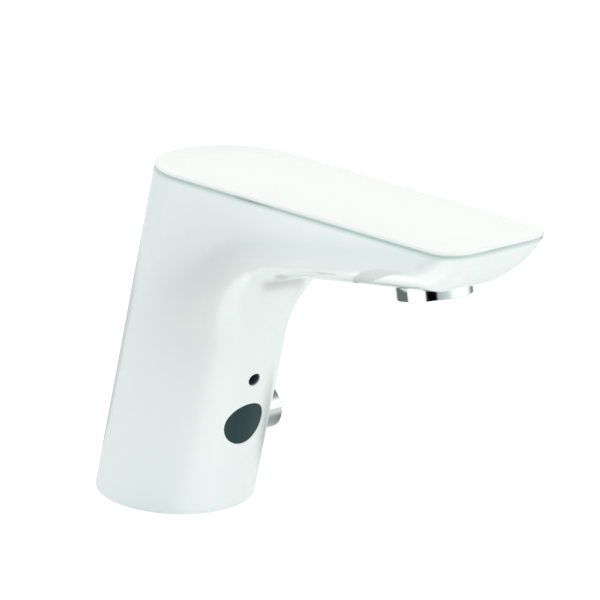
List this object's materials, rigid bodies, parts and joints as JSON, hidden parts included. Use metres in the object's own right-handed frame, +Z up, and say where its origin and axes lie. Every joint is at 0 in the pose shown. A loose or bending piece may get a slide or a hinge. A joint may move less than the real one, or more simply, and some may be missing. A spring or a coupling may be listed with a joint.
{
  "type": "sensor tap",
  "caption": "Deck-mounted touchless basin tap: leaning oval column into a flat tapered spout, with a sensor window, side knob and aerator.",
  "frame": {"origin": "centre of the oval foot, on the deck", "axes": "+X the way the spout points, +Y towards the side with the temperature knob, +Z up"},
  "size_m": [0.2043, 0.067, 0.13],
  "materials": {
    "white_lacquer": "glossy white stove-enamelled casting",
    "chrome_plate": "bright polished chrome plate",
    "cast_brass": "plain machined brass",
    "stainless": "bright stainless steel",
    "spring_steel": "drawn spring wire",
    "seal_rubber": "matte black rubber",
    "black_plastic": "fine matte moulding",
    "grey_plastic": "matte moulding",
    "screen_plastic": "satin grey moulding",
    "copper_wire": "enamelled copper wire",
    "dark_window": "glossy dark infrared-clear plastic",
    "circuit_board": "green solder mask",
    "clear_lamp": "clear blue-tinted epoxy",
    "dark_eye": "glossy black epoxy",
    "cable_jacket": "smooth black cable jacket"
  },
  "bodies": {
    "tap": {"tap_body": "white_lacquer", "aerator_ring": "chrome_plate", "base_plate": "cast_brass", "valve_block": "cast_brass", "cartridge_sleeve": "cast_brass", "cartridge_nut": "cast_brass", "base_screws": "stainless", "hot_filter": "stainless", "cold_filter": "stainless", "bonnet_screws": "stainless", "armature_tube": "stainless", "fixed_core": "stainless", "coil_yoke": "stainless", "sensor_clamp": "stainless", "clamp_screw": "stainless", "hot_check_spring": "spring_steel", "cold_check_spring": "spring_steel", "plunger_spring": "spring_steel", "base_seal": "seal_rubber", "spindle_seal": "seal_rubber", "diaphragm": "seal_rubber", "aerator_gasket": "seal_rubber", "window_seal": "seal_rubber", "signal_connector": "black_plastic", "sensor_housing": "black_plastic", "coil_bobbin": "black_plastic", "solenoid_bonnet": "black_plastic", "hot_check_housing": "grey_plastic", "cold_check_housing": "grey_plastic", "spindle_bush": "grey_plastic", "aerator_insert": "grey_plastic", "flow_limiter": "grey_plastic", "outlet_tube": "grey_plastic", "aerator_screen": "screen_plastic", "coil_winding": "copper_wire", "sensor_window": "dark_window", "sensor_board": "circuit_board", "ir_emitter": "clear_lamp", "ir_receiver": "dark_eye", "sensor_lead": "cable_jacket", "valve_lead": "cable_jacket"},
    "knob": {"temperature_knob": "chrome_plate", "knob_screw": "stainless", "mixing_spindle": "stainless", "mixing_rotor": "grey_plastic"},
    "solenoid_plunger": {"plunger": "stainless"},
    "hot_check_valve": {"hot_check_poppet": "grey_plastic"},
    "cold_check_valve": {"cold_check_poppet": "grey_plastic"}
  },
  "joints": [
    {"name": "temperature_turn", "type": "hinge", "parent": "tap", "child": "knob", "pos_m": [0.0074, 0, 0.025], "axis": [0, 1, 0], "range_deg": [-45, 45]},
    {"name": "plunger_lift", "type": "slide", "parent": "tap", "child": "solenoid_plunger", "axis": [0, 0, 1], "range_m": [0, 0.0018], "stiffness_N_per_m": 150, "springref_m": -0.01, "deforming": ["plunger_spring"]},
    {"name": "hot_check_lift", "type": "slide", "parent": "tap", "child": "hot_check_valve", "axis": [0, 0, 1], "range_m": [0, 0.002], "stiffness_N_per_m": 40, "springref_m": -0.004, "deforming": ["hot_check_spring"]},
    {"name": "cold_check_lift", "type": "slide", "parent": "tap", "child": "cold_check_valve", "axis": [0, 0, 1], "range_m": [0, 0.002], "stiffness_N_per_m": 40, "springref_m": -0.004, "deforming": ["cold_check_spring"]}
  ]
}
